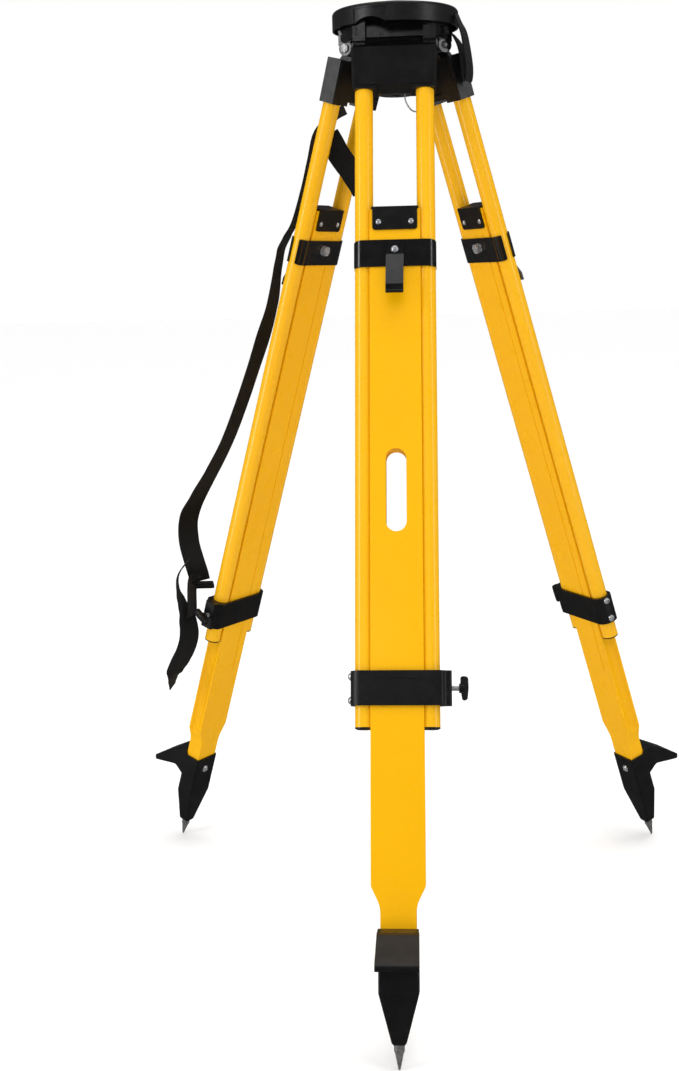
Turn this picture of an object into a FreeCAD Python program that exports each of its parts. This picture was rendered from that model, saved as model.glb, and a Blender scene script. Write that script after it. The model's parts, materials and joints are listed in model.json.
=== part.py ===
import FreeCAD, Part
import math
import os
from FreeCAD import Vector, Rotation

# Surveying tripod with telescopic legs, millimetres, +Z up.
# Origin: on the ground, straight below the axis of the head. The front leg points to -Y.

# Head
HINGE_Z = 1137.4          # height of the three leg hinges
HINGE_R = 43.0            # distance of each hinge axis from the head axis
HEAD_TOP = HINGE_Z + 42.8
HEAD_R = 71.5
FLANGE_R = 76.5
OPENING_R = 32.0
LUG_IN = 36.0
LUG_OUT = 51.5
LUG_FACE = 50.5            # spot faces of the hinge bolts
BARREL_R = 9.0
HINGE_BOLT_R = 3.2
CAP_R = 80.0
CAP_WALL = 2.6
CAP_TOP = HINGE_Z + 45.8
CAP_SKIRT = HINGE_Z + 22.8
CAP_BOSS_R = 42.0
CAP_BOSS_H = 6.8

# Central fastening screw, 5/8"-11
SCREW_R = 7.94
SCREW_TOP = HEAD_TOP - 2.0
ARM_PIVOT_Y = 44.0
ARM_Z = HINGE_Z + 0.7
ARM_T = 5.0
KNOB_R = 26.5
KNOB_Z = HINGE_Z - 57.0
KNOB_H = 23.0

# Leg cross-section; leg-frame stations are measured down the leg from the hinge axis
PLANE = 11.0              # tube plane lies this far outside the hinge axis
TUBE_R = 11.1
TUBE_BORE = 9.5
TUBE_S = 37.5             # tube centres either side of the leg centre
TUBE_TOP = 36.0
TUBE_END = 845.0
GROOVE_R = 11.4           # edge grooves of the board and bends of the guide plates
BOARD_W = 30.5            # half width
BOARD_N = 11.4            # half thickness
BOARD_TOP = 215.4
BOARD_KINK = 1009.5
NECK_W = 20.0
NECK_T = 1031.0
TONGUE_END = 1098.0
SLOT_W = 12.0
SLOT_T0 = 511.0
SLOT_T1 = 609.5
CLAMP_T0 = 781.2
CLAMP_T1 = 820.8
CLAMP_MID = 801.0
GUIDE_T0 = 255.0
GUIDE_T1 = 288.5
GUIDE_BOLT_T = 267.8
RIVET_T = 232.3
RIVET_S = 19.6
SHOE_TOP = 1061.0
SHOE_TAPER = 1123.5
SHOE_END = 1178.5
SHOE_BOLT_T = 1081.0
TIP_R = 1.0
TIP_T = 1204.0            # centre of the ball on the steel point, inner leg at zero extension

# name, azimuth about Z, splay from vertical
LEGS = (("front", 0.0, 20.2), ("left", -120.0, 17.65), ("right", 120.0, 17.97))
KNOB_TURN = {"front": 0.0, "left": 67.0, "right": 0.0}


# ---------------------------------------------------------------- helpers

def at(s, n, t):
    """Leg frame: s across, n outward from the tube plane, t down from the hinge."""
    return Vector(s, -(PLANE + n), -t)


def block(s0, s1, n0, n1, t0, t1):
    """Box in the leg frame."""
    return Part.makeBox(s1 - s0, n1 - n0, t1 - t0, at(s0, n1, t1))


def along_t(r, s, n, t0, t1):
    return Part.makeCylinder(r, t1 - t0, at(s, n, t1), Vector(0, 0, 1))


def along_n(r, s, t, n0, n1):
    return Part.makeCylinder(r, n1 - n0, at(s, n0, t), Vector(0, -1, 0))


def along_s(r, n, t, s0, s1):
    return Part.makeCylinder(r, s1 - s0, at(s0, n, t), Vector(1, 0, 0))


def closed_wire(corners, lift):
    """Closed outline through (u, v, radius) corners, tangent arc where radius > 0."""
    pts = [(Vector(c[0], c[1], 0), c[2] if len(c) > 2 else 0.0) for c in corners]
    marks = []
    for i, (p, r) in enumerate(pts):
        a = (pts[i - 1][0] - p).normalize()
        b = (pts[(i + 1) % len(pts)][0] - p).normalize()
        if r <= 0:
            marks.append((p, None, p))
            continue
        half = a.getAngle(b) / 2
        cut = r / math.tan(half)
        mid = (a + b).normalize()
        centre = p + mid * (r / math.sin(half))
        marks.append((p + a * cut, centre - mid * r, p + b * cut))
    edges = []
    for i, (start, mid, end) in enumerate(marks):
        if mid is not None:
            edges.append(Part.Arc(lift(start), lift(mid), lift(end)).toShape())
        nxt = marks[(i + 1) % len(marks)][0]
        if (nxt - end).Length > 1e-6:
            edges.append(Part.makeLine(lift(end), lift(nxt)))
    return Part.Wire(edges)


def face_plate(corners, n0, n1):
    """Outline in (s, t) given thickness n0..n1."""
    wire = closed_wire(corners, lambda v: at(v.x, n0, v.y))
    return Part.Face(wire).extrude(Vector(0, -(n1 - n0), 0))


def bar(corners, t0, t1):
    """Outline in (s, n) run along the leg from t0 to t1."""
    wire = closed_wire(corners, lambda v: at(v.x, v.y, t0))
    return Part.Face(wire).extrude(Vector(0, 0, -(t1 - t0)))


def side_profile(corners, s0, s1):
    """Outline in (n, t) run across the leg from s0 to s1."""
    wire = closed_wire(corners, lambda v: at(s0, v.x, v.y))
    return Part.Face(wire).extrude(Vector(s1 - s0, 0, 0))


def rect(w0, w1, h0, h1, r=0.0):
    return [(w0, h0, r), (w1, h0, r), (w1, h1, r), (w0, h1, r)]


def turned(points, origin, axis):
    """Solid of revolution: (radius, height) points, turned about axis through origin."""
    wire = Part.makePolygon([Vector(r, 0, h) for r, h in points + points[:1]])
    solid = Part.Face(wire).revolve(Vector(0, 0, 0), Vector(0, 0, 1), 360)
    solid.Placement = FreeCAD.Placement(origin, Rotation(Vector(0, 0, 1), axis))
    return solid


def dome_head(r, h, origin, axis):
    """Domed fastener head with its flat side on origin."""
    sphere_r = (r * r + h * h) / (2 * h)
    ball = Part.makeSphere(sphere_r, origin + axis * (h - sphere_r))
    keep = Part.makeCylinder(r * 1.01, h * 1.01, origin, axis)
    return ball.common(keep)


def hexagon(flats, h, origin, axis):
    r = flats / math.sqrt(3)
    pts = [Vector(r * math.cos(a), r * math.sin(a), 0) for a in [math.pi / 3 * i for i in range(7)]]
    prism = Part.Face(Part.makePolygon(pts)).extrude(Vector(0, 0, h))
    cone = Part.makeCone(r + h, r * 0.93, h + r * 0.07, Vector(0, 0, 0), Vector(0, 0, 1))
    prism = prism.common(cone)
    prism.Placement = FreeCAD.Placement(origin, Rotation(Vector(0, 0, 1), axis))
    return prism


def fuse(*solids):
    out = solids[0].fuse(list(solids[1:]))
    return out.removeSplitter()


def softened(solid, radius, pick):
    """Fillet the edges for which pick(edge) is true."""
    edges = [e for e in solid.Edges if pick(e)]
    return solid.makeFillet(radius, edges) if edges else solid


def ribbon(stations, width, thick):
    """Flat band through (centre, width direction) stations."""
    wires = []
    for i, (c, w) in enumerate(stations):
        ahead = stations[min(i + 1, len(stations) - 1)][0]
        behind = stations[max(i - 1, 0)][0]
        run = (ahead - behind).normalize()
        w = (w - run * w.dot(run)).normalize()
        up = run.cross(w).normalize()
        dw = w * (width / 2)
        du = up * (thick / 2)
        wires.append(Part.makePolygon([c - dw - du, c + dw - du, c + dw + du, c - dw + du, c - dw - du]))
    return Part.makeLoft(wires, True, True)


# ---------------------------------------------------------------- outer leg (tubes)

def shoulder():
    """Casting that joins the two tubes and turns on the hinge bolt."""
    ends = []
    for t, half in ((15.0, 53.2), (70.0, 51.2)):
        outline = [(-half, -12.5, 0), (half, -12.5, 0), (half, 12.5, 0), (-half, 12.5, 0)]
        bevelled = []
        for s, n, _ in outline:
            ds = 2.5 * (1 if s > 0 else -1)
            dn = 2.5 * (1 if n > 0 else -1)
            pair = [(s, n - dn, 0), (s - ds, n, 0)]
            bevelled += pair if (s > 0) == (n > 0) else pair[::-1]
        bevelled.sort(key=lambda p: math.atan2(p[1], p[0]))
        ends.append(closed_wire(bevelled, lambda v, t=t: at(v.x, v.y, t)))
    body = Part.makeLoft(ends, True, True)
    body = body.cut(block(-20.5, 20.5, -20, 20, 65.0, 75.0))
    body = body.cut(face_plate(rect(-16.5, 16.5, 24.0, 58.0, 4.0), -14.0, -7.5))
    neck = side_profile([(-20.0, 0), (-2.0, 0), (5.0, 16.0), (-11.5, 16.0)], -35.5, 35.5)
    barrel = along_s(BARREL_R, -PLANE, 0, -35.5, 35.5)
    pads = [block(20.5, 46.0, 12.4, 13.3, 55.0, 65.5), block(-46.0, -20.5, 12.4, 13.3, 55.0, 65.5)]
    body = fuse(body, neck, barrel, *pads)
    for side in (-1, 1):
        body = body.cut(along_t(TUBE_R + 0.03, side * TUBE_S, 0, TUBE_TOP, 76.0))
    return body.cut(along_s(HINGE_BOLT_R + 0.05, -PLANE, 0, -40.0, 40.0))


def poles():
    """Two drawn tubes."""
    tubes = []
    for side in (-1, 1):
        tube = along_t(TUBE_R, side * TUBE_S, 0, TUBE_TOP, TUBE_END)
        tubes.append(tube.cut(along_t(TUBE_BORE, side * TUBE_S, 0, TUBE_TOP - 1, TUBE_END + 1)))
    return Part.makeCompound(tubes)


def pole_plugs():
    """Push-in plugs closing the lower tube ends."""
    plugs = []
    for side in (-1, 1):
        outline = [(0, 14.0), (8.6, 14.0), (9.4, 12.6), (9.4, 0), (11.1, 0), (11.1, -1.6), (8.2, -3.0), (0, -3.4)]
        plugs.append(turned(outline, at(side * TUBE_S, 0, TUBE_END), Vector(0, 0, 1)))
    return Part.makeCompound(plugs)


def lower_clamp():
    """Clamp casting at the lower end of the tubes, with the split closed by the thumb screw."""
    outline = [(-53.5, -14.8, 13.0), (51.0, -14.8, 5.0), (55.0, -9.5, 5.0), (62.0, -9.5, 3.0),
               (62.0, 9.5, 3.0), (55.0, 9.5, 5.0), (51.0, 14.8, 5.0), (-53.5, 14.8, 13.0)]
    body = bar(outline, CLAMP_T0, CLAMP_T1)
    body = body.cut(block(-TUBE_S, TUBE_S, -11.75, 11.75, CLAMP_T0 - 1, CLAMP_T1 + 1))
    body = body.cut(along_t(TUBE_R + 0.03, -TUBE_S, 0, CLAMP_T0 - 1, CLAMP_T1 + 1))
    body = body.cut(along_t(TUBE_R + 0.2, TUBE_S, 0, CLAMP_T0 - 1, CLAMP_T1 + 1))
    body = body.cut(along_s(7.6, 0, CLAMP_MID, TUBE_S, 57.5))
    body = body.cut(along_s(3.3, 0, CLAMP_MID, 50.0, 70.0))
    body = body.cut(block(-20.5, 20.5, 14.3, 16.0, CLAMP_T0 + 8.6, CLAMP_T0 + 9.8))
    for dt in (-13.6, 13.6):
        body = body.cut(along_s(3.05, 0, CLAMP_MID + dt, -60.0, -TUBE_S - 8.0))
    return body


def clamp_bolts():
    """Button-head socket bolts holding the clamp to the fixed tube."""
    bolts = []
    for dt in (-13.6, 13.6):
        head = dome_head(4.6, 3.4, at(-53.5, 0, CLAMP_MID + dt), Vector(-1, 0, 0))
        shank = along_s(3.0, 0, CLAMP_MID + dt, -53.6, -48.75)
        socket = hexagon(3.6, 3.0, at(-58.0, 0, CLAMP_MID + dt), Vector(1, 0, 0))
        bolts.append(fuse(head, shank).cut(socket))
    return Part.makeCompound(bolts)


def pressure_pad():
    return along_s(7.0, 0, CLAMP_MID, 48.95, 52.0)


def clamp_screw():
    """M6 thumb screw with a few cut thread rings on its visible part."""
    screw = along_s(3.0, 0, CLAMP_MID, 52.05, 77.0)
    for i in range(6):
        ring = along_s(6.0, 0, CLAMP_MID, 63.0 + 1.25 * i, 63.5 + 1.25 * i)
        screw = screw.cut(ring.cut(along_s(2.6, 0, CLAMP_MID, 60.0, 75.0)))
    return screw


def clamp_knob(turn):
    """Thin wing grip of the thumb screw, turned about the screw by an angle in degrees."""
    top, low = CLAMP_MID - 13.7, CLAMP_MID + 13.7
    outline = [(71.5, top, 3.0), (80.5, top, 4.0), (81.0, CLAMP_MID, 30.0), (79.5, low, 3.5),
               (73.5, low, 2.5), (71.5, CLAMP_MID, 30.0)]
    wing = face_plate(outline, -4.0, 4.0)
    wing = softened(wing, 1.6, lambda e: abs(abs(e.CenterOfMass.y + PLANE) - 4.0) < 0.01)
    hub = along_s(5.4, 0, CLAMP_MID, 70.0, 76.0)
    grip = fuse(wing, hub).cut(along_s(3.0, 0, CLAMP_MID, 68.0, 77.05))
    grip.rotate(at(0, 0, CLAMP_MID), Vector(1, 0, 0), turn)
    return grip


# ---------------------------------------------------------------- inner leg (board)

def board(with_slot):
    """Sliding board with grooved edges, necked down into the shoe."""
    half = [(BOARD_W, BOARD_TOP, 0), (BOARD_W, BOARD_KINK, 7.0), (NECK_W, NECK_T, 34.0), (NECK_W, TONGUE_END, 3.0)]
    outline = half + [(-s, t, r) for s, t, r in reversed(half)]
    body = face_plate(outline, -BOARD_N, BOARD_N)
    for side in (-1, 1):
        body = body.cut(along_t(GROOVE_R, side * TUBE_S, 0, BOARD_TOP - 1, NECK_T + 20))
        body = body.cut(along_n(2.55, side * RIVET_S, RIVET_T, -20, 20))
    body = body.cut(block(-16.0, -14.0, -BOARD_N - 1, -BOARD_N + 0.6, 250.0, 912.0))
    body = body.cut(along_n(3.1, 0, GUIDE_BOLT_T, -20, 20))
    body = body.cut(along_n(3.1, 0, SHOE_BOLT_T, -20, 20))
    if with_slot:
        body = body.cut(face_plate(rect(-SLOT_W, SLOT_W, SLOT_T0, SLOT_T1, SLOT_W - 0.01), -20, 20))
    return body


def board_cap():
    """Folded saddle over the upper end of the board, guided by the tubes."""
    top = bar(rect(-28.5, 28.5, -13.6, 13.6, 1.5), BOARD_TOP - 2.5, BOARD_TOP)
    for side in (-1, 1):
        top = top.cut(along_t(GROOVE_R + 0.5, side * TUBE_S, 0, BOARD_TOP - 3, BOARD_TOP + 1))
    body = top
    for n0 in (BOARD_N, -13.6):
        sheet = face_plate([(-27.0, BOARD_TOP - 2.5, 0), (27.0, BOARD_TOP - 2.5, 0), (27.0, 242.0, 4.0),
                            (-27.0, 242.0, 4.0)], n0, n0 + 2.2)
        body = body.fuse(sheet)
    for side in (-1, 1):
        body = body.cut(along_n(2.55, side * RIVET_S, RIVET_T, -20, 20))
    return body.removeSplitter()


def guide_plate(sign):
    """Bent plate that laps round both tubes on one face of the leg."""
    wall = 1.6
    end = math.asin(4.5 / GROOVE_R)

    def arc(side, radius, a0, a1):
        pts = []
        for a in (a0, (a0 + a1) / 2, a1):
            pts.append(at(side * (TUBE_S + radius * math.cos(a)), sign * radius * math.sin(a), GUIDE_T0))
        return Part.Arc(*pts).toShape(), pts[0], pts[-1]

    outer = GROOVE_R + wall
    e1, right_tip_in, right_top_in = arc(1, GROOVE_R, end, math.pi / 2)
    e2, left_tip_in, left_top_in = arc(-1, GROOVE_R, end, math.pi / 2)
    e3, right_tip_out, right_top_out = arc(1, outer, end, math.pi / 2)
    e4, left_tip_out, left_top_out = arc(-1, outer, end, math.pi / 2)
    edges = [e1, Part.makeLine(right_top_in, left_top_in), e2, Part.makeLine(left_tip_in, left_tip_out),
             e4, Part.makeLine(left_top_out, right_top_out), e3, Part.makeLine(right_tip_out, right_tip_in)]
    section = Part.Face(Part.Wire(Part.__sortEdges__(edges)))
    plate = section.extrude(Vector(0, 0, -(GUIDE_T1 - GUIDE_T0)))
    trim = face_plate(rect(-50.7, 50.7, GUIDE_T0, GUIDE_T1, 4.5), -20, 20)
    plate = plate.common(trim)
    return plate.cut(along_n(3.1, 0, GUIDE_BOLT_T, -20, 20))


def guide_plates():
    return Part.makeCompound([guide_plate(1), guide_plate(-1)])


def belt_hook():
    """Tab bolted on the outer guide plate, flared out to hold the strap."""
    profile = [(13.0, 257.5, 0), (15.4, 257.5, 0), (15.4, 273.5, 5.0), (34.8, 319.0, 6.0),
               (34.8, 327.5, 0), (32.4, 327.5, 0), (32.4, 319.6, 4.0), (13.0, 275.0, 4.0)]
    body = side_profile(profile, -10.6, 10.6)
    body = fuse(body, along_s(1.9, 33.4, 327.0, -10.6, 10.6))
    return body.cut(along_n(3.1, 0, GUIDE_BOLT_T, 0, 30))


def board_fasteners():
    """Cap rivets, guide bolt with washer and nut, shoe bolt."""
    out = Vector(0, -1, 0)
    parts = []
    for side in (-1, 1):
        s = side * RIVET_S
        parts.append(fuse(along_n(2.5, s, RIVET_T, -13.7, 13.7),
                          dome_head(3.4, 1.8, at(s, 13.6, RIVET_T), out),
                          dome_head(3.4, 1.8, at(s, -13.6, RIVET_T), -out)))
    parts.append(fuse(along_n(3.0, 0, GUIDE_BOLT_T, -21.0, 15.5),
                      dome_head(4.4, 3.0, at(0, 15.4, GUIDE_BOLT_T), out)))
    parts.append(along_n(6.6, 0, GUIDE_BOLT_T, -14.1, -13.0).cut(along_n(3.0, 0, GUIDE_BOLT_T, -15, -12)))
    nut = hexagon(12.0, 5.6, at(0, -14.1, GUIDE_BOLT_T), -out)
    parts.append(nut.cut(along_n(3.0, 0, GUIDE_BOLT_T, -22, -12)))
    parts.append(fuse(along_n(3.0, 0, SHOE_BOLT_T, -13.6, 12.9),
                      dome_head(5.5, 3.2, at(0, -13.5, SHOE_BOLT_T), -out)))
    return Part.makeCompound(parts)


def pedal():
    """Foot rest, a sloping tongue with a straight front edge."""
    profile = [(10.0, 1058.5, 0), (13.5, 1054.5, 0), (31.6, 1057.7, 14.0), (66.9, 1089.0, 2.4),
               (63.9, 1095.4, 2.4), (27.0, 1085.3, 8.0), (13.0, 1094.0, 0), (10.0, 1094.0, 0)]
    plate = side_profile(profile, -24.6, 24.6)
    plan = [(-24.2, 67.0, 2.5), (24.2, 67.0, 2.5), (22.6, 14.0, 0), (22.6, 5.0, 0), (-22.6, 5.0, 0),
            (-22.6, 14.0, 0)]
    return plate.common(bar(plan, 1050.0, 1130.0))


def shoe():
    """Cast shoe: pocket for the board, foot rest and tapered stem."""
    upper = bar(rect(-22.6, 22.6, -13.5, 13.5, 2.5), SHOE_TOP, SHOE_TAPER)
    rings = []
    for t, w, n, r in ((SHOE_TAPER, 22.6, 13.5, 2.5), (SHOE_END - 2.4, 8.4, 8.3, 2.4), (SHOE_END, 6.6, 6.6, 1.6)):
        rings.append(closed_wire(rect(-w, w, -n, n, r), lambda v, t=t: at(v.x, v.y, t)))
    taper = Part.makeLoft(rings[:2], True, True)
    toe = Part.makeLoft(rings[1:], True, True)
    body = fuse(upper, taper, toe, pedal())
    body = body.cut(block(-NECK_W - 0.1, NECK_W + 0.1, -BOARD_N - 0.1, BOARD_N + 0.1, SHOE_TOP - 8, 1100.0))
    body = body.cut(along_n(3.1, 0, SHOE_BOLT_T, -20, 13.2))
    body = body.cut(along_n(1.9, 0, 1066.5, -20, -10.0))
    return body.cut(along_t(5.4, 0, 0, 1150.0, SHOE_END + 2))


def steel_point():
    """Hardened point pressed in the shoe; TIP_R ball at the end."""
    outline = [(0, 0), (5.4, 0), (5.4, -28.5), (5.9, -28.5), (5.9, -35.0), (4.7, -38.0), (1.25, -54.0), (0, -54.0)]
    body = turned(outline, at(0, 0, 1150.0), Vector(0, 0, 1))
    return fuse(body, Part.makeSphere(1.25, at(0, 0, 1203.75)))


# ---------------------------------------------------------------- head

def spin(shape, azimuth):
    out = shape.copy()
    out.rotate(Vector(0, 0, 0), Vector(0, 0, 1), azimuth)
    return out


def disc(r, z0, z1):
    return Part.makeCylinder(r, z1 - z0, Vector(0, 0, z0))


def head_casting():
    """Head plate with a flange, three flats and a pair of hinge lugs at each leg."""
    base = HINGE_Z + 6.0
    body = disc(HEAD_R, base, HEAD_TOP - 8.0)
    body = softened(body, 5.0, lambda e: abs(e.CenterOfMass.z - base) < 0.01)
    body = fuse(body, disc(FLANGE_R, HEAD_TOP - 8.0, HEAD_TOP))
    groove = disc(HEAD_R + 2, HINGE_Z + 16.5, HINGE_Z + 19.0).cut(disc(HEAD_R - 1.2, HINGE_Z + 16, HINGE_Z + 20))
    body = body.cut(groove)
    for _, azimuth, _ in LEGS:
        flat = Part.makeBox(200, 60, 60, Vector(-100, -53.5 - 60, HEAD_TOP - 8.0 - 60))
        body = body.cut(spin(flat, azimuth))
    for _, azimuth, _ in LEGS:
        for side in (-1, 1):
            s0 = LUG_IN if side > 0 else -LUG_OUT
            web = Part.makeBox(LUG_OUT - LUG_IN, 17.3, 19.2, Vector(s0, -53.0, HINGE_Z + 3.8))
            channel = Part.makeBox(LUG_OUT - LUG_IN + 2, 1.2, 2.5, Vector(s0 - 1, -53.2, HINGE_Z + 16.5))
            web = web.cut(channel)
            boss = Part.makeCylinder(9.3, LUG_OUT - LUG_IN, Vector(s0, -HINGE_R, HINGE_Z), Vector(1, 0, 0))
            body = body.fuse([spin(web, azimuth), spin(boss, azimuth)])
    for _, azimuth, _ in LEGS:
        notch = Part.makeBox(2 * LUG_IN, 60, 60, Vector(-LUG_IN, -35.7 - 60, HEAD_TOP - 8.0 - 60))
        bore = Part.makeCylinder(HINGE_BOLT_R + 0.05, 120, Vector(-60, -HINGE_R, HINGE_Z), Vector(1, 0, 0))
        body = body.cut([spin(notch, azimuth), spin(bore, azimuth)])
        for side in (-1, 1):
            face = Part.makeCylinder(6.0, 8.0, Vector(side * LUG_FACE, -HINGE_R, HINGE_Z), Vector(side, 0, 0))
            body = body.cut(spin(face, azimuth))
    body = body.cut(disc(OPENING_R, HINGE_Z - 20, HEAD_TOP + 5))
    pivot = Part.makeCylinder(3.0, 14.0, Vector(0, ARM_PIVOT_Y, HINGE_Z + 5.0))
    return body.cut(pivot).removeSplitter()


def hinge_bolts():
    """One bolt and nut per leg."""
    parts = []
    for _, azimuth, _ in LEGS:
        left, right = Vector(-LUG_FACE, -HINGE_R, HINGE_Z), Vector(LUG_FACE, -HINGE_R, HINGE_Z)
        shank = Part.makeCylinder(HINGE_BOLT_R, 2 * LUG_FACE + 3.6, left, Vector(1, 0, 0))
        head = dome_head(4.8, 3.2, left, Vector(-1, 0, 0))
        nut = hexagon(9.4, 3.2, right, Vector(1, 0, 0))
        nut = nut.cut(Part.makeCylinder(HINGE_BOLT_R, 20, right - Vector(5, 0, 0), Vector(1, 0, 0)))
        parts += [spin(fuse(shank, head), azimuth), spin(nut, azimuth)]
    return Part.makeCompound(parts)


def arc_shell(r0, r1, a0, a1, z0, z1):
    """Sector of a ring; angles in degrees from the front, positive to the right."""
    ring = disc(r1, z0, z1).cut(disc(r0, z0 - 1, z1 + 1))
    wedge = Part.makeCylinder(r1 + 5, z1 - z0, Vector(0, 0, z0), Vector(0, 0, 1), a1 - a0)
    wedge.rotate(Vector(0, 0, 0), Vector(0, 0, 1), a0 - 90)
    return ring.common(wedge)


def head_cap():
    """Push-on plastic cover of the head, with a grip panel and a clearance boss."""
    outer = disc(CAP_R, CAP_SKIRT, CAP_TOP)
    outer = softened(outer, 5.0, lambda e: abs(e.CenterOfMass.z - CAP_TOP) < 0.01)
    boss = disc(CAP_BOSS_R, CAP_TOP - 1, CAP_TOP + CAP_BOSS_H)
    boss = softened(boss, 4.0, lambda e: abs(e.CenterOfMass.z - CAP_TOP - CAP_BOSS_H) < 0.01)
    body = fuse(outer, boss)
    body = body.cut(disc(CAP_R - CAP_WALL, CAP_SKIRT - 1, HEAD_TOP + 0.3))
    body = body.cut(disc(CAP_BOSS_R - 3, HEAD_TOP, CAP_TOP + CAP_BOSS_H - 1.8))
    body = body.cut(arc_shell(CAP_R - 1.4, CAP_R + 2, -38.0, -7.0, CAP_SKIRT - 1, CAP_TOP - 6.0))
    arch = Part.makeCylinder(34.0, 30, Vector(0, -60, CAP_SKIRT - 34.0 + 6.5), Vector(0, -1, 0))
    return body.cut(spin(arch, -22.5))


def cap_tether():
    """Webbing loop that keeps the cover on the head."""
    path = [(77.2, -29.5, 34.6, 0.35), (80.5, -29.0, 25.6, 0.45), (86.0, -27.0, 13.6, 0.62), (89.6, -25.0, -3.4, 0.70),
            (93.0, -23.5, -28.4, 0.72), (92.6, -23.5, -40.4, 0.72), (89.9, -21.5, -46.0, 0.72),
            (87.2, -19.6, -43.4, 0.72), (86.2, -18.9, -33.4, 0.72), (84.0, -18.2, -15.4, 0.70),
            (79.0, -17.5, 1.6, 0.5), (72.9, -15.8, 13.1, 0.24)]
    return ribbon([(Vector(x, y, HINGE_Z + z), Vector(w, 1, 0)) for x, y, z, w in path], 16.0, 1.8)


def centring_arm():
    """Slotted arm under the head that lets the screw be centred."""
    z = ARM_Z
    tip = -30.0
    pts = [(-16.0, tip, 9.0), (16.0, tip, 9.0), (16.0, 20.0, 20.0), (10.0, 36.0, 12.0),
           (10.0, 54.0, 9.9), (-10.0, 54.0, 9.9), (-10.0, 36.0, 12.0), (-16.0, 20.0, 20.0)]
    wire = closed_wire(pts, lambda v: Vector(v.x, v.y, z))
    body = Part.Face(wire).extrude(Vector(0, 0, ARM_T))
    slot = closed_wire(rect(-10.5, 10.5, -12.6 - 10.5, 12.6 + 10.5, 10.49), lambda v: Vector(v.x, v.y, z - 1))
    body = body.cut(Part.Face(slot).extrude(Vector(0, 0, ARM_T + 2)))
    return body.cut(Part.makeCylinder(4.05, 20, Vector(0, ARM_PIVOT_Y, z - 5)))


def arm_pivot_bolt():
    """Shoulder screw carrying the arm."""
    z = HINGE_Z + 6.0
    shank = Part.makeCylinder(3.0, 12.0, Vector(0, ARM_PIVOT_Y, z))
    collar = Part.makeCylinder(4.0, 5.6, Vector(0, ARM_PIVOT_Y, z - 5.6))
    head = Part.makeCylinder(7.0, 3.4, Vector(0, ARM_PIVOT_Y, z - 9.0))
    return fuse(shank, collar, head)


def slide_bush():
    """Spool that slides in the arm slot and carries the screw."""
    low = disc(14.0, ARM_Z - 2.05, ARM_Z - 0.05)
    mid = disc(10.43, ARM_Z - 1.0, ARM_Z + ARM_T + 1.0)
    high = disc(14.0, ARM_Z + ARM_T + 0.05, ARM_Z + ARM_T + 2.05)
    return fuse(low, mid, high).cut(disc(SCREW_R + 0.06, ARM_Z - 5, ARM_Z + ARM_T + 5))


def retaining_ring():
    z = ARM_Z + ARM_T + 2.3
    return disc(11.8, z, z + 3.0).cut(disc(SCREW_R + 0.05, z - 1, z + 4))


def fastening_screw():
    """Hollow 5/8 inch screw; the thread is shown as grooves."""
    body = disc(SCREW_R, KNOB_Z + 4.0, SCREW_TOP)
    body = softened(body, 1.0, lambda e: abs(e.CenterOfMass.z - SCREW_TOP) < 0.01)
    body = body.cut(disc(4.0, KNOB_Z, SCREW_TOP + 1))
    for i in range(8):
        z = SCREW_TOP - 3.4 - 2.309 * i
        body = body.cut(disc(SCREW_R + 2, z, z + 1.0).cut(disc(SCREW_R - 0.8, z - 1, z + 2)))
    return body


def screw_knob():
    """Fluted hand knob of the fastening screw."""
    body = disc(KNOB_R, KNOB_Z, KNOB_Z + KNOB_H)
    body = softened(body, 5.0, lambda e: abs(e.CenterOfMass.z - KNOB_Z) < 0.01)
    body = softened(body, 2.5, lambda e: abs(e.CenterOfMass.z - KNOB_Z - KNOB_H) < 0.01)
    flutes = []
    for i in range(12):
        a = math.radians(30 * i + 15)
        centre = Vector((KNOB_R + 3.2) * math.cos(a), (KNOB_R + 3.2) * math.sin(a), KNOB_Z - 1)
        flutes.append(Part.makeCylinder(5.0, KNOB_H + 2, centre))
    body = body.cut(flutes)
    hub = disc(13.0, KNOB_Z + KNOB_H - 1, KNOB_Z + KNOB_H + 6.0)
    body = fuse(body, hub)
    body = body.cut(disc(SCREW_R, KNOB_Z + 4.0, KNOB_Z + 60))
    body = body.cut(disc(5.0, KNOB_Z - 1, KNOB_Z + 5))
    return body.cut(Part.makeCylinder(1.0, 6.0, Vector(11.0, 0, KNOB_Z - 1)))


def plumb_hook():
    """Wire hook for a plumb line."""
    p = [Vector(11.0, 0, KNOB_Z + 4.0), Vector(11.0, 0, KNOB_Z - 2.0), Vector(14.0, 0, KNOB_Z - 12.0),
         Vector(19.0, 0, KNOB_Z - 18.5), Vector(27.5, 0, KNOB_Z - 20.5)]
    stem = Part.makeLine(p[0], p[1])
    curve = Part.BSplineCurve()
    curve.interpolate(Points=p[1:], InitialTangent=Vector(0, 0, -1), FinalTangent=Vector(1, 0, 0.15))
    path = Part.Wire([stem, curve.toShape()])
    ring = Part.Wire(Part.makeCircle(0.98, p[0], Vector(0, 0, -1)))
    return path.makePipeShell([ring], True, False)


# ---------------------------------------------------------------- carrying strap, on the left leg

def leg_path(stations):
    """(s, n, t, width direction s, n, t) rows as placed stations of a ribbon."""
    return [(at(*row[:3]), Vector(row[3], -row[4], -row[5])) for row in stations]


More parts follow.
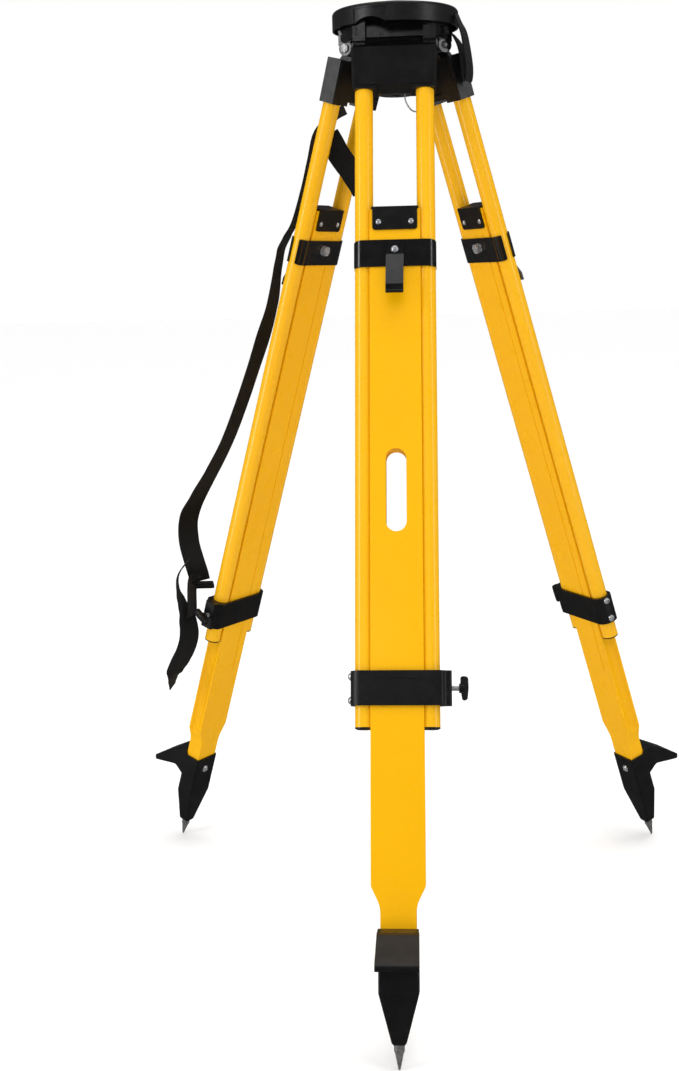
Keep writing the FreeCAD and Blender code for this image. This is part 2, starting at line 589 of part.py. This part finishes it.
def carry_strap():
    """Main strand, from between the tubes over the hook and down to the buckle."""
    return ribbon(leg_path([
        (2, 2, 75, -1, 0, 0), (8, 8, 84, -0.97, 0.2, 0.1), (15, 14, 94, -0.93, 0.33, 0.15),
        (22, 19.5, 104, -0.9, 0.37, 0.2), (26.3, 22.4, 117, -0.876, 0.39, 0.25),
        (26.3, 22.4, 190, -0.876, 0.39, 0.25), (26.3, 26, 236, -0.876, 0.39, 0.25),
        (24.5, 33, 254, -0.88, 0.38, 0.24), (18, 42, 274, -0.9, 0.33, 0.22), (13, 45, 300, -0.93, 0.25, 0.2),
        (10, 43, 350, -0.95, 0.1, 0.15), (12, 45, 400, -0.97, -0.06, 0.1), (14, 49, 450, -0.97, 0, 0.1),
        (16, 54, 500, -0.97, 0, 0.1), (18, 63, 560, -0.97, 0, 0.1), (20, 76, 610, -0.97, -0.06, 0.1),
        (22, 90, 656, -0.95, -0.2, 0.05), (27, 95, 692, -0.85, -0.45, -0.1), (33, 82, 722, -0.72, -0.66, -0.18),
        (39, 62, 743, -0.6, -0.75, -0.2), (44, 45, 757, -0.565, -0.79, -0.25)]), 30.0, 1.6)


def strap_buckle():
    """Ladder buckle: flat frame with a middle bar."""
    frame = Part.makeBox(36.0, 3.0, 24.0, Vector(-18, -1.5, -12))
    frame = softened(frame, 3.0, lambda e: abs(e.CenterOfMass.y) < 0.01)
    for z in (-9.0, 2.0):
        frame = frame.cut(Part.makeBox(30.5, 10, 7.0, Vector(-15.25, -5, z)))
    side, depth = Vector(-0.565, 0.79, 0.251), Vector(-0.669, -0.328, -0.656)
    turn = Rotation(side, side.cross(depth) * -1, depth, "XZY")
    frame.Placement = FreeCAD.Placement(at(47.0, 33.0, 770.0), turn)
    return frame


def strap_end():
    """Free end: passes the thumb screw and hangs down."""
    return ribbon(leg_path([
        (69, 33, 779, -0.94, 0.2, 0.2), (67.5, 30, 790, -0.94, 0.1, 0.2),
        (67, 25, 812, -0.93, -0.15, 0.1), (69, 19.5, 838, -0.88, -0.4, 0), (72, 20, 862, -0.86, -0.46, -0.09),
        (75, 24, 886, -0.86, -0.46, -0.09), (76, 26.5, 902, -0.86, -0.46, -0.09)]), 30.0, 1.6)


def strap_tail():
    """Second strand, from between the tubes to the inner side of the left leg."""
    return ribbon(leg_path([
        (22, 6, 111, 0.1, 0.1, 1), (18, -1, 119, 0.1, 0.1, 1), (12, -9, 130, 0.1, 0.1, 1),
        (6, -18.5, 140, 0.1, 0.1, 1), (0, -26.5, 148, 0.1, 0.1, 1), (-5, -31.5, 155, 0.1, 0.1, 1),
        (-12, -37, 163, 0.1, 0.1, 1), (-18, -41, 171, 0.1, 0.1, 1)]), 30.0, 1.6)


# ---------------------------------------------------------------- placement and export

def extension(splay):
    """Slide of the inner leg that puts the ball of the steel point on the ground."""
    b = math.radians(splay)
    return (HINGE_Z + PLANE * math.sin(b) - TIP_R) / math.cos(b) - TIP_T


def placed(shape, azimuth, splay, slide):
    """Leg-frame shape moved to its place on the tripod."""
    out = shape.copy()
    out.translate(Vector(0, 0, -slide))
    out.rotate(Vector(0, 0, 0), Vector(1, 0, 0), -splay)
    out.translate(Vector(0, -HINGE_R, HINGE_Z))
    out.rotate(Vector(0, 0, 0), Vector(0, 0, 1), azimuth)
    return out


def export(name, shape):
    shape.exportStep("parts/%s.step" % name)
    print(name, len(shape.Solids), shape.isValid(), round(shape.Volume / 1000, 2))


def main():
    os.makedirs("parts", exist_ok=True)
    fixed = {"shoulder": shoulder(), "poles": poles(), "pole_plugs": pole_plugs(), "lower_clamp": lower_clamp(),
             "clamp_bolts": clamp_bolts(), "pressure_pad": pressure_pad(), "clamp_screw": clamp_screw()}
    sliding = {"board_cap": board_cap(), "guide_plates": guide_plates(), "belt_hook": belt_hook(),
               "board_fasteners": board_fasteners(), "shoe": shoe(), "steel_point": steel_point()}
    boards = {True: board(True), False: board(False)}
    for name, azimuth, splay in LEGS:
        slide = extension(splay)
        for part, shape in fixed.items():
            export("%s_%s" % (name, part), placed(shape, azimuth, splay, 0.0))
        for part, shape in sliding.items():
            export("%s_%s" % (name, part), placed(shape, azimuth, splay, slide))
        export("%s_board" % name, placed(boards[name == "front"], azimuth, splay, slide))
        export("%s_clamp_knob" % name, placed(clamp_knob(KNOB_TURN[name]), azimuth, splay, 0.0))
    for part in (carry_strap, strap_buckle, strap_end, strap_tail):
        export(part.__name__, placed(part(), LEGS[1][1], LEGS[1][2], 0.0))
    for part in (head_casting, hinge_bolts, head_cap, cap_tether, centring_arm, arm_pivot_bolt, slide_bush,
                 retaining_ring, fastening_screw, screw_knob, plumb_hook):
        export(part.__name__, part())


main()
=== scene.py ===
import json
import math

import bmesh
import bpy
from mathutils import Matrix, Vector


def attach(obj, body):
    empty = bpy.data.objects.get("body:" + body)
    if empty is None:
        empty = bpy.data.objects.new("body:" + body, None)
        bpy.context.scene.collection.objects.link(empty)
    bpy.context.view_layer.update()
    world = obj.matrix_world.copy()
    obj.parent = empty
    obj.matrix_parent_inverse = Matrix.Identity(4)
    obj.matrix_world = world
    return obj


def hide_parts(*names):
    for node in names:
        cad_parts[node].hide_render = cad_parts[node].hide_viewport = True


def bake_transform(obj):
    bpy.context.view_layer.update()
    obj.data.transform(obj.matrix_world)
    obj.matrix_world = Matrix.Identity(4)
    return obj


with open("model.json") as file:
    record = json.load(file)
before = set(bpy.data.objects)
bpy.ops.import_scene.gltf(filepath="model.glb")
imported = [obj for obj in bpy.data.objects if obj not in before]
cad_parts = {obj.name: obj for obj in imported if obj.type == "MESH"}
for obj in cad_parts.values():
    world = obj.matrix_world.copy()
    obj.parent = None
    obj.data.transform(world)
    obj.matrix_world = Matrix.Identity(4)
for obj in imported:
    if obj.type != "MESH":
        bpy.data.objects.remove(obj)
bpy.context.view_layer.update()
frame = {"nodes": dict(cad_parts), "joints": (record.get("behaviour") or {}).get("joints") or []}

LEG_NAMES = ("front", "left", "right")
TUBE_PLANE = 11.0        # mm, tube plane outside the hinge axis
STRAP_WIDTH = 0.030      # m, carrying strap
TETHER_WIDTH = 0.016     # m, loop of the cover
WEB_THICK = 0.0016       # m
BAND_STEP = 0.004        # m between rows of a band
FLOOR_HALF = 30          # m
CAMERA_PLACE = (0.0586, -1.927, 0.853)
CAMERA_LENS = 48.7       # mm, on a sensor 36 mm wide


# ------------------------------------------------------------------ leg frames

def leg_axes(leg):
    """Hinge point and the leg's across, outward and down directions."""
    joints = {j["name"]: j for j in frame["joints"]}
    hinge = joints[leg + "_leg_hinge"]
    across = Vector(hinge["axis"])
    down = Vector(joints[leg + "_leg_extend"]["axis"])
    return Vector(hinge["pos_m"]), across, down.cross(across), down


AXES = {leg: leg_axes(leg) for leg in LEG_NAMES}


def on_leg(leg, s, n, t):
    """Point of the row frame from millimetres across, outward from the tubes and down the leg."""
    origin, across, outward, down = AXES[leg]
    return origin + (across * s + outward * (n + TUBE_PLANE) + down * t) * 0.001


def leg_vector(leg, s, n, t):
    _, across, outward, down = AXES[leg]
    return (across * s + outward * n + down * t).normalized()


# ------------------------------------------------------------------ material building

class Nodes:
    """Small helper round one material's node tree."""

    def __init__(self, name):
        self.mat = bpy.data.materials.new(name)
        self.mat.use_nodes = True
        self.tree = self.mat.node_tree
        self.shader = self.tree.nodes["Principled BSDF"]
        self.coord = self.tree.nodes.new("ShaderNodeTexCoord")

    def link(self, a, b):
        self.tree.links.new(a, b)

    def add(self, kind, **values):
        node = self.tree.nodes.new(kind)
        for key, value in values.items():
            if key in node.inputs:
                node.inputs[key].default_value = value
            else:
                setattr(node, key, value)
        return node

    def noise(self, scale, detail=4.0, rough=0.55, stretch=(1, 1, 1)):
        mapping = self.add("ShaderNodeMapping")
        mapping.inputs["Scale"].default_value = stretch
        self.link(self.coord.outputs["Object"], mapping.inputs["Vector"])
        tex = self.add("ShaderNodeTexNoise", Scale=scale, Detail=detail, Roughness=rough)
        self.link(mapping.outputs["Vector"], tex.inputs["Vector"])
        return tex.outputs["Fac"]

    def ramp(self, fac, stops):
        node = self.add("ShaderNodeValToRGB")
        while len(node.color_ramp.elements) < len(stops):
            node.color_ramp.elements.new(0.5)
        for element, (place, value) in zip(node.color_ramp.elements, stops):
            element.position = place
            element.color = (*value, 1.0) if isinstance(value, tuple) else (value, value, value, 1.0)
        self.link(fac, node.inputs["Fac"])
        return node.outputs["Color"]

    def mix(self, fac, a, b):
        node = self.add("ShaderNodeMix", data_type="RGBA")
        for sock, value in ((node.inputs[0], fac), (node.inputs[6], a), (node.inputs[7], b)):
            if isinstance(value, (int, float)):
                sock.default_value = value
            elif isinstance(value, tuple):
                sock.default_value = (*value, 1.0)
            else:
                self.link(value, sock)
        return node.outputs[2]

    def math(self, op, a, b=0.0):
        node = self.add("ShaderNodeMath", operation=op)
        for sock, value in zip(node.inputs, (a, b)):
            if isinstance(value, (int, float)):
                sock.default_value = value
            else:
                self.link(value, sock)
        return node.outputs[0]

    def bump(self, height, strength, distance, below=None):
        node = self.add("ShaderNodeBump", Strength=strength, Distance=distance)
        self.link(height, node.inputs["Height"])
        if below is not None:
            self.link(below, node.inputs["Normal"])
        return node.outputs["Normal"]

    def finish(self, color, rough, normal, metallic=0.0, coat=0.0, coat_rough=0.1, specular=0.5):
        s = self.shader.inputs
        for key, value in (("Base Color", color), ("Roughness", rough), ("Normal", normal)):
            self.link(value, s[key])
        s["Metallic"].default_value = metallic
        s["Coat Weight"].default_value = coat
        s["Coat Roughness"].default_value = coat_rough
        s["Specular IOR Level"].default_value = specular
        return self.mat


def scratches(n, scale=90.0, low=0.64, high=0.70, stretch=(1, 1, 0.04)):
    """Sparse fine lines along the leg, 0 or 1."""
    lines = n.noise(scale * 6, detail=2.0, stretch=stretch)
    where = n.noise(scale * 0.12, detail=2.0)
    thin = n.ramp(lines, [(low, 0.0), (high, 1.0)])
    return n.math("MULTIPLY", thin, n.ramp(where, [(0.52, 0.0), (0.6, 1.0)]))


def yellow_paint(name, base, orange, coat, specular):
    """Sprayed yellow over a smooth body: slight tone drift, orange peel, hairline scratches."""
    n = Nodes(name)
    drift = n.noise(6.0, detail=3.0)
    color = n.mix(n.ramp(drift, [(0.35, 0.0), (0.7, 1.0)]), base, orange)
    fine = n.noise(420.0, detail=3.0)
    color = n.mix(n.math("MULTIPLY", fine, 0.03), color, (0.66, 0.27, 0.002))
    lines = scratches(n)
    color = n.mix(n.math("MULTIPLY", lines, 0.18), color, (0.92, 0.52, 0.03))
    rough = n.ramp(n.noise(38.0, detail=5.0), [(0.3, 0.24), (0.75, 0.38)])
    rough = n.mix(lines, rough, (0.6, 0.6, 0.6))
    normal = n.bump(n.noise(900.0, detail=2.0), 0.12, 0.0004)
    normal = n.bump(n.noise(60.0, detail=2.0), 0.05, 0.001, normal)
    return n.finish(color, rough, normal, coat=coat, coat_rough=0.12, specular=specular)


def black_paint(name, rough_lo, rough_hi, grain, coat):
    """Black coating on metal with a fine grain and worn, slightly paler patches."""
    n = Nodes(name)
    patches = n.noise(55.0, detail=6.0)
    worn = n.ramp(patches, [(0.4, 0.0), (0.75, 1.0)])
    color = n.mix(worn, (0.0035, 0.0036, 0.0042), (0.007, 0.007, 0.0078))
    lines = scratches(n, scale=120.0, stretch=(0.3, 1, 0.3))
    color = n.mix(n.math("MULTIPLY", lines, 0.4), color, (0.03, 0.03, 0.031))
    rough = n.ramp(n.noise(140.0, detail=4.0), [(0.3, rough_lo), (0.7, rough_hi)])
    normal = n.bump(n.noise(2100.0, detail=2.0), grain, 0.0004)
    normal = n.bump(n.noise(160.0, detail=3.0), grain * 0.4, 0.0006, normal)
    return n.finish(color, rough, normal, coat=coat, coat_rough=0.18)


def moulded_plastic(name, tone, rough):
    n = Nodes(name)
    pale = (tone * 1.8, tone * 1.8, tone * 1.9)
    color = n.mix(n.noise(70.0, detail=4.0), (tone, tone, tone * 1.05), pale)
    roughness = n.ramp(n.noise(260.0, detail=4.0), [(0.3, rough - 0.08), (0.7, rough + 0.08)])
    normal = n.bump(n.noise(1700.0, detail=1.0), 0.16, 0.0004)
    return n.finish(color, roughness, normal, specular=0.45)


def metal(name, base, dark, rough, brushed, metallic=0.7):
    n = Nodes(name)
    tone = n.noise(180.0, detail=5.0)
    color = n.mix(n.ramp(tone, [(0.35, 0.0), (0.75, 1.0)]), base, dark)
    streaks = n.noise(520.0, detail=4.0, stretch=brushed)
    roughness = n.ramp(streaks, [(0.3, rough - 0.1), (0.75, rough + 0.1)])
    normal = n.bump(n.noise(1500.0, detail=2.0, stretch=brushed), 0.12, 0.0003)
    return n.finish(color, roughness, normal, metallic=metallic)


def webbing(name):
    """Black woven webbing: ribs across the band, offset from column to column."""
    n = Nodes(name)
    uv = n.add("ShaderNodeUVMap", uv_map="Band")
    split = n.add("ShaderNodeSeparateXYZ")
    n.link(uv.outputs["UV"], split.inputs[0])
    along, across = split.outputs[0], split.outputs[1]
    column = n.math("MULTIPLY", across, math.pi / 0.0017)
    shift = n.math("MULTIPLY", n.math("SIGN", n.math("SINE", column)), math.pi / 2)
    row = n.math("ADD", n.math("MULTIPLY", along, 2 * math.pi / 0.0020), shift)
    yarn = n.math("ABSOLUTE", n.math("SINE", column))
    pick = n.math("ABSOLUTE", n.math("SINE", n.math("MULTIPLY", row, 0.5)))
    height = n.math("MULTIPLY", n.math("POWER", yarn, 0.6), n.math("POWER", pick, 0.7))
    fuzz = n.noise(2600.0, detail=3.0)
    lint = n.ramp(n.noise(340.0, detail=6.0), [(0.66, 0.0), (0.72, 1.0)])
    # painted shade: colour follows the weave height, darker in the valleys between yarns and paler on the
    # crests as a painted sheen
    color = n.mix(height, (0.0022, 0.0022, 0.0024), (0.008, 0.008, 0.0085))
    color = n.mix(n.math("MULTIPLY", n.noise(24.0, detail=3.0), 0.4), color, (0.02, 0.0195, 0.019))
    color = n.mix(n.math("MULTIPLY", lint, 0.22), color, (0.09, 0.088, 0.085))
    rough = n.ramp(fuzz, [(0.3, 0.72), (0.7, 0.92)])
    normal = n.bump(height, 0.75, 0.0004)
    normal = n.bump(fuzz, 0.2, 0.0003, normal)
    mat = n.finish(color, rough, normal, specular=0.12)
    n.shader.inputs["Sheen Weight"].default_value = 0.06
    n.shader.inputs["Sheen Roughness"].default_value = 0.45
    return mat


YELLOW_TUBE = yellow_paint("yellow_tube", (0.86, 0.45, 0.002), (0.84, 0.425, 0.0015), 0.3, 0.35)
YELLOW_BOARD = yellow_paint("yellow_board", (0.84, 0.43, 0.002), (0.82, 0.405, 0.0015), 0.06, 0.15)
BLACK_SATIN = black_paint("black_satin", 0.36, 0.52, 0.16, 0.05)
BLACK_GLOSS = black_paint("black_gloss", 0.16, 0.28, 0.06, 0.4)
BLACK_CAST = black_paint("black_cast", 0.30, 0.46, 0.22, 0.1)
PLASTIC = moulded_plastic("black_plastic", 0.006, 0.36)
PLASTIC_DARK = moulded_plastic("knob_plastic", 0.004, 0.30)
ZINC = metal("bright_zinc", (0.66, 0.68, 0.72), (0.45, 0.46, 0.48), 0.26, (1, 1, 1))
DARK_ZINC = metal("dark_zinc", (0.30, 0.30, 0.31), (0.12, 0.12, 0.125), 0.30, (1, 1, 1))
POINT = metal("point_steel", (0.40, 0.40, 0.39), (0.16, 0.155, 0.15), 0.40, (1, 1, 0.1))
BRASS = metal("screw_brass", (0.72, 0.50, 0.20), (0.50, 0.33, 0.12), 0.30, (1, 1, 1))
WEB = webbing("black_webbing")

FINISH = {
    "shoulder": BLACK_CAST, "poles": YELLOW_TUBE, "pole_plugs": PLASTIC, "lower_clamp": BLACK_SATIN,
    "clamp_bolts": ZINC, "pressure_pad": PLASTIC_DARK, "clamp_screw": ZINC, "clamp_knob": PLASTIC_DARK,
    "board": YELLOW_BOARD, "board_cap": BLACK_SATIN, "guide_plates": BLACK_GLOSS, "belt_hook": BLACK_GLOSS,
    "board_fasteners": ZINC, "shoe": BLACK_CAST, "steel_point": POINT, "head_casting": BLACK_GLOSS,
    "hinge_bolts": DARK_ZINC, "head_cap": PLASTIC, "centring_arm": ZINC, "arm_pivot_bolt": ZINC,
    "slide_bush": BRASS, "retaining_ring": ZINC, "fastening_screw": BRASS, "screw_knob": PLASTIC_DARK,
    "plumb_hook": ZINC, "strap_buckle": PLASTIC_DARK,
}
SOFT = ("carry_strap", "strap_end", "strap_tail", "cap_tether")


def dress_cad():
    """One procedural material on every CAD node that stays visible."""
    for name, obj in frame["nodes"].items():
        if name in SOFT:
            continue
        part = name.split("_", 1)[1] if name.split("_")[0] in LEG_NAMES else name
        obj.data.materials.clear()
        obj.data.materials.append(FINISH[part])


dress_cad()


# ------------------------------------------------------------------ bands of webbing

def smooth_path(points, step):
    """Rows every step metres on a centripetal Catmull-Rom line; a row is (place, width dir, width)."""
    places = [p[0] for p in points]
    ext = [places[0] * 2 - places[1]] + places + [places[-1] * 2 - places[-2]]
    rows = []
    for i in range(len(points) - 1):
        p0, p1, p2, p3 = ext[i:i + 4]
        count = max(2, round((p2 - p1).length / step))
        t0, t1 = 0.0, (p1 - p0).length ** 0.5
        t2 = t1 + (p2 - p1).length ** 0.5
        t3 = t2 + (p3 - p2).length ** 0.5
        for k in range(count + (1 if i == len(points) - 2 else 0)):
            f = k / count
            t = t1 + (t2 - t1) * f
            a1 = p0 * ((t1 - t) / (t1 - t0)) + p1 * ((t - t0) / (t1 - t0))
            a2 = p1 * ((t2 - t) / (t2 - t1)) + p2 * ((t - t1) / (t2 - t1))
            a3 = p2 * ((t3 - t) / (t3 - t2)) + p3 * ((t - t2) / (t3 - t2))
            b1 = a1 * ((t2 - t) / (t2 - t0)) + a2 * ((t - t0) / (t2 - t0))
            b2 = a2 * ((t3 - t) / (t3 - t1)) + a3 * ((t - t1) / (t3 - t1))
            place = b1 * ((t2 - t) / (t2 - t1)) + b2 * ((t - t1) / (t2 - t1))
            ease = f * f * (3 - 2 * f)
            side = points[i][1].lerp(points[i + 1][1], ease)
            width = points[i][2] * (1 - ease) + points[i + 1][2] * ease
            rows.append((place, side, width))
    return rows


def band_section(width, thick):
    """Closed outline of webbing: flat middle and thicker rounded selvedges; (across, up, v)."""
    half, up = width / 2, thick / 2
    bead = up * 1.25
    top = [(-half + bead, bead), (-half + 2.4 * bead, up), (-half * 0.5, up), (0, up),
           (half * 0.5, up), (half - 2.4 * bead, up), (half - bead, bead)]
    right = [(half - bead * 0.3, bead * 0.7), (half, 0), (half - bead * 0.3, -bead * 0.7)]
    bottom = [(a, -b) for a, b in reversed(top)]
    left = [(-a, b) for a, b in reversed(right)]
    return top + right + bottom + left


def band(name, points):
    """Webbing band through points with a UV map in metres along and across."""
    rows = smooth_path(points, BAND_STEP)
    bm = bmesh.new()
    uv = bm.loops.layers.uv.new("Band")
    rings, length = [], 0.0
    for i, (place, side, width) in enumerate(rows):
        ahead = rows[min(i + 1, len(rows) - 1)][0]
        behind = rows[max(i - 1, 0)][0]
        run = (ahead - behind).normalized()
        side = (side - run * side.dot(run)).normalized()
        up = run.cross(side).normalized()
        if i:
            length += (place - rows[i - 1][0]).length
        outline = band_section(width, WEB_THICK)
        ring = [bm.verts.new(place + side * a + up * b) for a, b in outline]
        rings.append((ring, [(length, a) for a, _ in outline]))
    count = len(rings[0][0])
    for (ra, ua), (rb, ub) in zip(rings, rings[1:]):
        for k in range(count):
            m = (k + 1) % count
            face = bm.faces.new((ra[k], ra[m], rb[m], rb[k]))
            for loop, value in zip(face.loops, (ua[k], ua[m], ub[m], ub[k])):
                loop[uv].uv = value
            face.smooth = True
    for ring, values, order in ((*rings[0], -1), (*rings[-1], 1)):
        face = bm.faces.new(ring[::order])
        for loop, value in zip(face.loops, values[::order]):
            loop[uv].uv = value
    bmesh.ops.recalc_face_normals(bm, faces=bm.faces)
    mesh = bpy.data.meshes.new(name)
    bm.to_mesh(mesh)
    bm.free()
    mesh.materials.append(WEB)
    obj = bpy.data.objects.new(name, mesh)
    bpy.context.scene.collection.objects.link(obj)
    return obj, length


def strap_points(table):
    """Rows of (s, n, t, width direction s, n, t) on the left leg as points of a band."""
    return [(on_leg("left", *row[:3]), leg_vector("left", *row[3:]), STRAP_WIDTH) for row in table]


def join(objects, name):
    """One object from several bands."""
    bm = bmesh.new()
    for obj in objects:
        bm.from_mesh(obj.data)
        bpy.data.objects.remove(obj)
    mesh = bpy.data.meshes.new(name)
    bm.to_mesh(mesh)
    bm.free()
    mesh.materials.append(WEB)
    obj = bpy.data.objects.new(name, mesh)
    bpy.context.scene.collection.objects.link(obj)
    return obj


def hang(obj, node):
    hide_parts(node)
    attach(obj, "left_upper_leg")


def carrying_strap():
    route = [
        (2, 2, 75, -1, 0, 0), (8, 8, 84, -0.97, 0.2, 0.1), (15, 14, 94, -0.93, 0.33, 0.15),
        (22, 19.5, 104, -0.9, 0.37, 0.2), (26.3, 22.4, 117, -0.876, 0.39, 0.25),
        (26.3, 22.4, 150, -0.876, 0.39, 0.25), (26.3, 22.4, 190, -0.876, 0.39, 0.25),
        (26.3, 26, 236, -0.876, 0.39, 0.25), (24.5, 33, 254, -0.88, 0.38, 0.24),
        (18, 42, 274, -0.9, 0.33, 0.22),
        (13, 45, 300, -0.93, 0.25, 0.2), (10, 43, 350, -0.95, 0.1, 0.15), (12, 45, 400, -0.97, -0.06, 0.1),
        (14, 49, 450, -0.97, 0, 0.1), (16, 54, 500, -0.97, 0, 0.1), (18, 63, 560, -0.97, 0, 0.1),
        (20, 76, 610, -0.97, -0.06, 0.1), (22, 90, 656, -0.95, -0.2, 0.05),
        (27, 95, 692, -0.85, -0.45, -0.1),
        (33, 82, 722, -0.72, -0.66, -0.18), (39, 62, 743, -0.6, -0.75, -0.2),
        (44, 45, 758, -0.565, -0.79, -0.25),
        (46, 38, 766, -0.565, -0.79, -0.25)]
    strap, length = band("strap_main", strap_points(route))
    hang(strap, "carry_strap")
    print("strap_main length", round(length, 3))


def strap_free_end():
    short = [(52, 41, 763, -0.9, 0.1, 0.2), (57, 42, 764, -0.94, 0.2, 0.2), (62, 38, 772, -0.94, 0.2, 0.2),
             (65, 32, 786, -0.94, 0.2, 0.2), (66, 27, 800, -0.94, 0.2, 0.2),
             (66.5, 24, 812, -0.94, 0.2, 0.2)]
    tail = [(70, 50, 736, -0.79, 0.535, 0.297), (73, 56, 752, -0.79, 0.535, 0.297),
            (74, 57.5, 766, -0.79, 0.535, 0.297), (74, 53, 780, -0.82, 0.5, 0.28),
            (74, 43, 793, -0.92, 0.27, 0.2), (74, 33, 805, -0.95, 0.06, 0.13),
            (73, 24, 820, -0.926, -0.311, -0.02), (71, 18, 841, -0.86, -0.46, -0.09),
            (72, 18, 862, -0.86, -0.46, -0.09), (74, 22, 882, -0.86, -0.46, -0.09),
            (76, 26.4, 901, -0.92, -0.25, 0.0), (77, 26, 912, -0.93, 0.2, 0.2),
            (77, 24, 926, -0.88, 0.39, 0.25)]
    first, _ = band("strap_short", strap_points(short))
    second, length = band("strap_tail_end", strap_points(tail))
    hang(join((first, second), "strap_free_end"), "strap_end")
    print("strap_free_end length", round(length, 3))


def strap_second():
    route = [(22, 6, 111, 0.1, 0.1, 1), (18, -1, 119, 0.1, 0.1, 1), (12, -9, 130, 0.1, 0.1, 1),
             (6, -18.5, 140, 0.1, 0.1, 1), (0, -26.5, 148, 0.1, 0.1, 1), (-5, -31.5, 155, 0.1, 0.1, 1),
             (-12, -37, 163, 0.1, 0.1, 1), (-18, -41, 171, 0.1, 0.1, 1)]
    tail, length = band("strap_second", strap_points(route))
    hang(tail, "strap_tail")
    print("strap_second length", round(length, 3))


def tether():
    base = AXES["front"][0].z
    route = [(77.2, -29.5, 34.6, 0.35), (80.5, -29.0, 25.6, 0.45), (86.0, -27.0, 13.6, 0.62),
             (89.6, -25.0, -3.4, 0.70), (93.0, -23.5, -28.4, 0.72), (92.6, -23.5, -40.4, 0.72),
             (91.0, -23.6, -45.6, 0.72), (88.8, -22.4, -43.0, 0.72), (87.9, -21.8, -33.4, 0.72),
             (85.6, -21.0, -15.4, 0.70), (80.2, -19.6, 1.6, 0.5), (72.9, -16.2, 13.1, 0.24)]
    pts = []
    for x, y, z, w in route:
        place = Vector((x, y, 0)) * 0.001 + Vector((0, 0, base + z * 0.001))
        pts.append((place, Vector((w, 1, 0)).normalized(), TETHER_WIDTH))
    loop, length = band("tether_loop", pts)
    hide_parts("cap_tether")
    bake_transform(loop)
    print("tether length", round(length, 3))


carrying_strap()
strap_free_end()
strap_second()
tether()


# ------------------------------------------------------------------ stage, light, camera

def floor():
    mesh = bpy.data.meshes.new("floor")
    far = FLOOR_HALF
    mesh.from_pydata([(-far, -far, 0), (far, -far, 0), (far, far, 0), (-far, far, 0)], [], [(0, 1, 2, 3)])
    n = Nodes("floor_paint")
    color = n.mix(n.noise(3.0), (0.93, 0.93, 0.93), (0.95, 0.95, 0.95))
    rough = n.ramp(n.noise(9.0), [(0.3, 0.8), (0.7, 0.9)])
    mesh.materials.append(n.finish(color, rough, n.bump(n.noise(40.0), 0.02, 0.001)))
    obj = bpy.data.objects.new("floor", mesh)
    obj.visible_glossy = False
    bpy.context.scene.collection.objects.link(obj)


def lamp(name, place, target, size, power, mirrored=True):
    """Rectangular lamp; mirrored tells whether glossy surfaces show it."""
    data = bpy.data.lights.new(name, "AREA")
    data.shape = "RECTANGLE"
    data.size, data.size_y = size
    data.energy = power
    obj = bpy.data.objects.new(name, data)
    obj.location = place
    obj.rotation_euler = (Vector(target) - Vector(place)).to_track_quat("-Z", "Y").to_euler()
    obj.visible_glossy = mirrored
    bpy.context.scene.collection.objects.link(obj)


def sun(name, toward, angle, strength):
    data = bpy.data.lights.new(name, "SUN")
    data.angle = math.radians(angle)
    data.energy = strength
    obj = bpy.data.objects.new(name, data)
    obj.rotation_euler = Vector(toward).to_track_quat("-Z", "Y").to_euler()
    obj.visible_glossy = False
    bpy.context.scene.collection.objects.link(obj)


def surround(tree, strength):
    node = tree.nodes.new("ShaderNodeBackground")
    node.inputs["Color"].default_value = (1.0, 1.0, 1.0, 1.0)
    node.inputs["Strength"].default_value = strength
    return node.outputs[0]


def studio():
    """White backdrop, a dim surround in the reflections, broad soft light from the front and above."""
    world = bpy.data.worlds.new("studio")
    bpy.context.scene.world = world
    world.use_nodes = True
    tree = world.node_tree
    path = tree.nodes.new("ShaderNodeLightPath")
    shade = surround(tree, 0.40)
    for output, strength in (("Is Glossy Ray", 0.07), ("Is Camera Ray", 1.0)):
        mix = tree.nodes.new("ShaderNodeMixShader")
        tree.links.new(path.outputs[output], mix.inputs[0])
        tree.links.new(shade, mix.inputs[1])
        tree.links.new(surround(tree, strength), mix.inputs[2])
        shade = mix.outputs[0]
    tree.links.new(shade, tree.nodes["World Output"].inputs["Surface"])
    sun("key_sun", (0.05, 0.75, -0.85), 40, 0.50)
    sun("top_sun", (-0.15, -0.1, -1.0), 60, 2.0)
    lamp("head_fill", (-0.2, -1.5, 1.9), (0, -0.1, 1.1), (1.0, 1.0), 2, False)
    lamp("strip_left", (-1.65, -0.95, 1.1), (0, 0, 0.8), (0.35, 2.2), 15)
    lamp("strip_right", (1.7, -0.9, 1.2), (0, 0, 0.8), (0.25, 2.2), 8)
    lamp("sky_panel", (0, 0.2, 2.6), (0, 0, 1.0), (1.6, 1.2), 6)
    lamp("front_panel", (-0.28, -2.6, 1.6), (0, -0.05, 1.16), (0.34, 0.30), 0.8)


def camera():
    """Viewing position and direction of the photograph: yaw towards -X, then down, then roll."""
    yaw, pitch, roll = 0.0754, 0.1763, -0.0247
    forward = Vector((-math.sin(yaw) * math.cos(pitch), math.cos(yaw) * math.cos(pitch), -math.sin(pitch)))
    right = Vector((math.cos(yaw), math.sin(yaw), 0))
    up = right.cross(forward)
    side = right * math.cos(roll) + up * math.sin(roll)
    top = up * math.cos(roll) - right * math.sin(roll)
    data = bpy.data.cameras.new("camera")
    data.sensor_width = 36.0
    data.sensor_fit = "AUTO"
    data.lens = CAMERA_LENS
    obj = bpy.data.objects.new("camera", data)
    turn = Matrix((side, top, -forward)).transposed().to_4x4()
    obj.matrix_world = Matrix.Translation(CAMERA_PLACE) @ turn
    bpy.context.scene.collection.objects.link(obj)
    bpy.context.scene.camera = obj


floor()
studio()
camera()
bpy.context.scene.view_settings.view_transform = "Standard"
